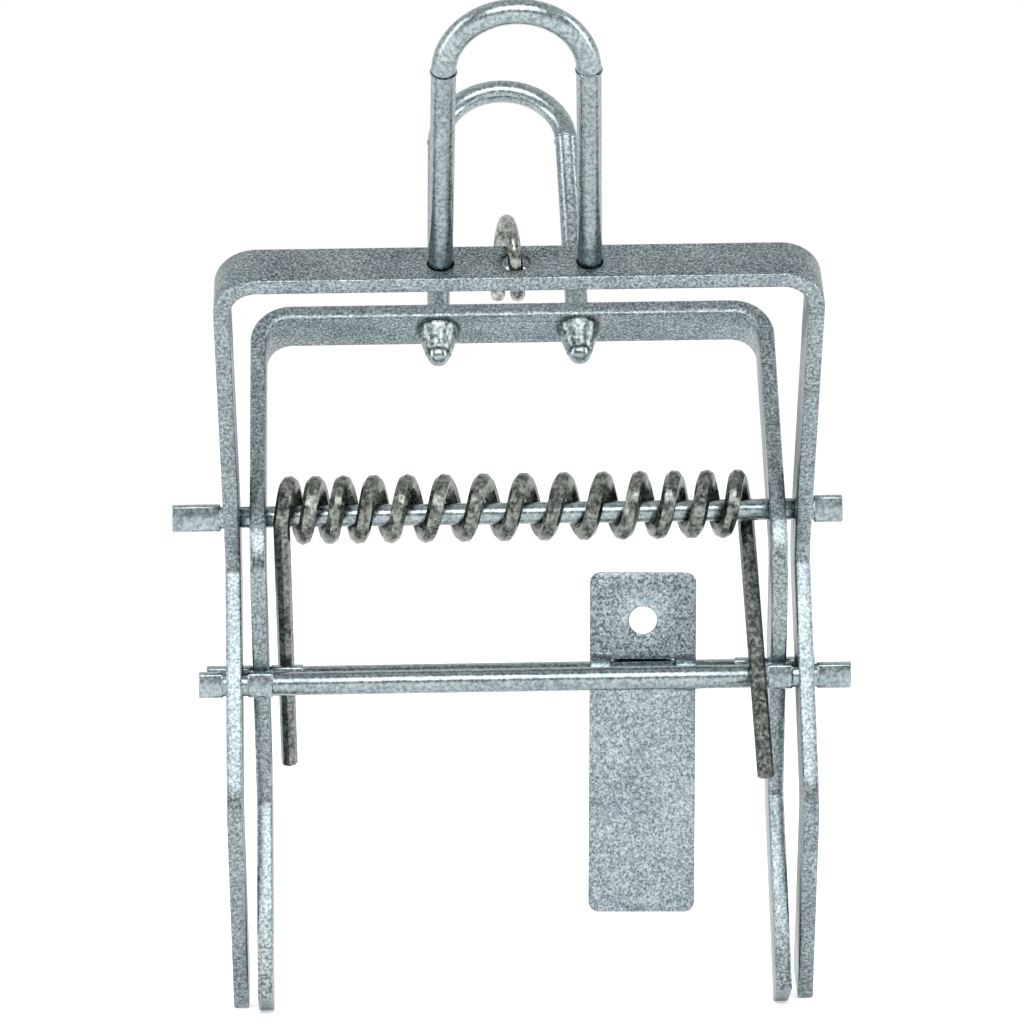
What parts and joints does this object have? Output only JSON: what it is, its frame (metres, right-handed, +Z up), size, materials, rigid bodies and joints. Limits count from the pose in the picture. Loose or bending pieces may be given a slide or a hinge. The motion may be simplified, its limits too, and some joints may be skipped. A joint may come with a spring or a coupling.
{
  "type": "scissor mole trap",
  "caption": "Sprung scissor mole trap of bent plated strip, with wire squeeze handles, a coil spring on the pivot rod, cross rods, a hanging trigger plate and a tether ring.",
  "frame": {"origin": "at the level of the jaw tips, midway between the outermost faces left to right and front to back", "axes": "+X along the pivot rod to the viewer's right, +Y away from the viewer, +Z up from the jaw tips to the handles"},
  "size_m": [0.1298, 0.132, 0.192],
  "materials": {
    "zinc_strip": "bright zinc plate on flat strip, finely speckled",
    "zinc_sheet": "bright zinc plate on thin sheet, finely speckled",
    "bright_wire": "smooth zinc-plated wire",
    "weld": "plated weld bead, lumpy",
    "spring_wire": "dull plated spring wire",
    "ring_wire": "bright wire with dull specks"
  },
  "bodies": {
    "outer_jaw": {"outer_frame": "zinc_strip", "outer_handle": "bright_wire", "outer_handle_weld_left": "weld", "outer_handle_weld_right": "weld", "outer_cross_rod": "bright_wire", "spring": "spring_wire"},
    "inner_jaw": {"inner_frame": "zinc_strip", "inner_handle": "bright_wire", "inner_handle_weld_left": "weld", "inner_handle_weld_right": "weld", "inner_cross_rod": "bright_wire"},
    "pivot": {"pivot_rod": "bright_wire"},
    "trigger": {"trigger_plate": "zinc_sheet"},
    "tether": {"tether_ring": "ring_wire"}
  },
  "joints": [
    {"name": "jaw_hinge", "type": "hinge", "parent": "outer_jaw", "child": "inner_jaw", "pos_m": [0.0014, 0.00456, 0.09575], "axis": [1, 0, 0], "range_deg": [0, 64], "stiffness_Nm_per_rad": 2.4, "springref_deg": -14.32, "deforming": ["spring"]},
    {"name": "pivot_spin", "type": "hinge", "parent": "outer_jaw", "child": "pivot", "pos_m": [0.0014, 0.00456, 0.09575], "axis": [1, 0, 0], "continuous": true},
    {"name": "trigger_swing", "type": "hinge", "parent": "inner_jaw", "child": "trigger", "pos_m": [0.0254, 0.0095, 0.06405], "axis": [1, 0, 0], "range_deg": [-50, 60]},
    {"name": "tether_swing", "type": "hinge", "parent": "outer_jaw", "child": "tether", "pos_m": [0.0007, -0.03036, 0.14381], "axis": [1, 0, 0], "range_deg": [0, 42]}
  ]
}
